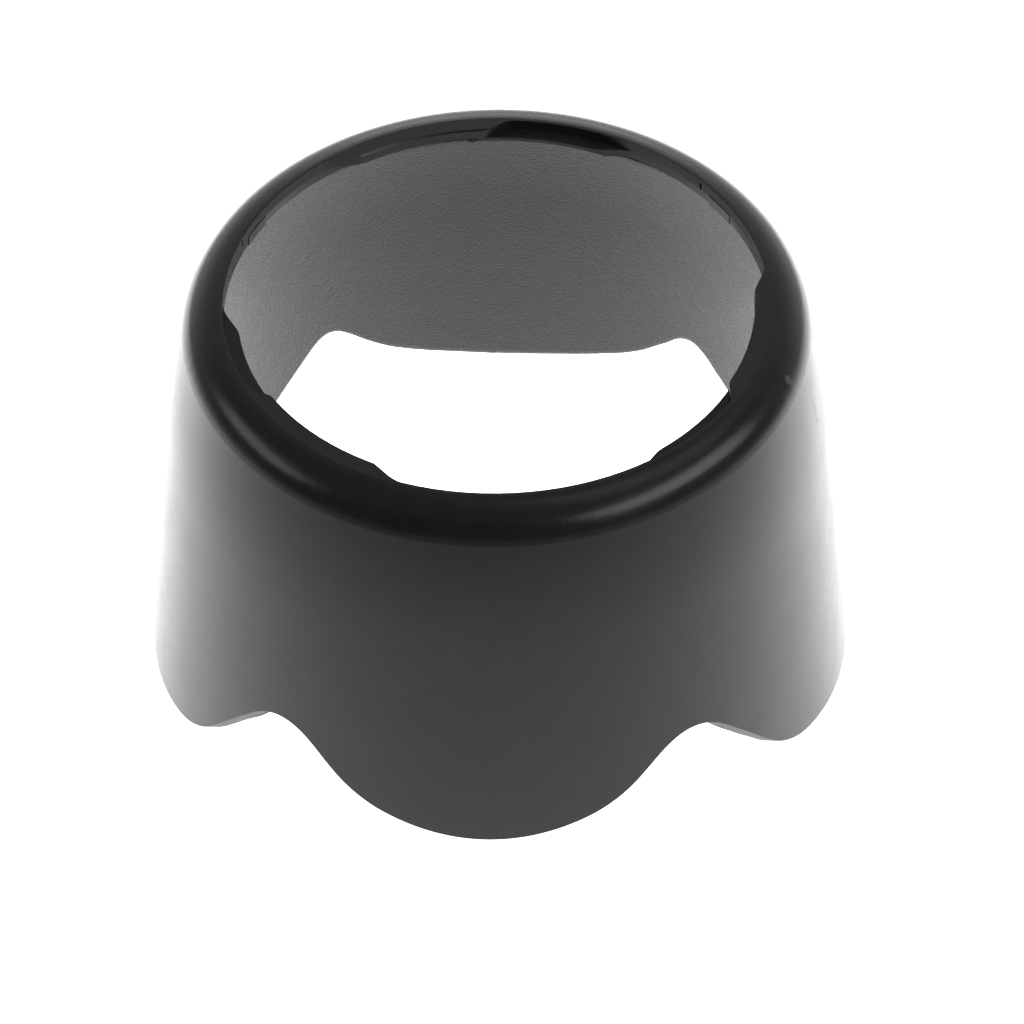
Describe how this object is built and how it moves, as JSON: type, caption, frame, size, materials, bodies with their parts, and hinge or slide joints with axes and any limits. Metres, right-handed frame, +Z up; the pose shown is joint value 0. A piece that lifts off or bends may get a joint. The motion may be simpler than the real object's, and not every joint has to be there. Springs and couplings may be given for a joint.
{
  "type": "lens hood",
  "caption": "Flared petal-edged hood for a camera lens, with a rounded shoulder, an inward bayonet mount and a flocked inside.",
  "frame": {"origin": "on the floor under the middle of the hood, level with the tips of the long petals", "axes": "+Z up along the hood's axis towards the mount end, X through the two long petals, Y through the two short petals"},
  "size_m": [0.1122, 0.1104, 0.0713],
  "materials": {
    "shell_plastic": "satin black moulded plastic with a very fine grain",
    "ring_plastic": "smooth satin black moulded plastic",
    "flock": "matt black flock",
    "mark_paint": "flat white paint"
  },
  "bodies": {
    "root": {"hood_shell": "shell_plastic", "bayonet_ring": "ring_plastic", "flock_lining": "flock", "index_line": "mark_paint", "index_dot": "mark_paint"}
  },
  "joints": []
}
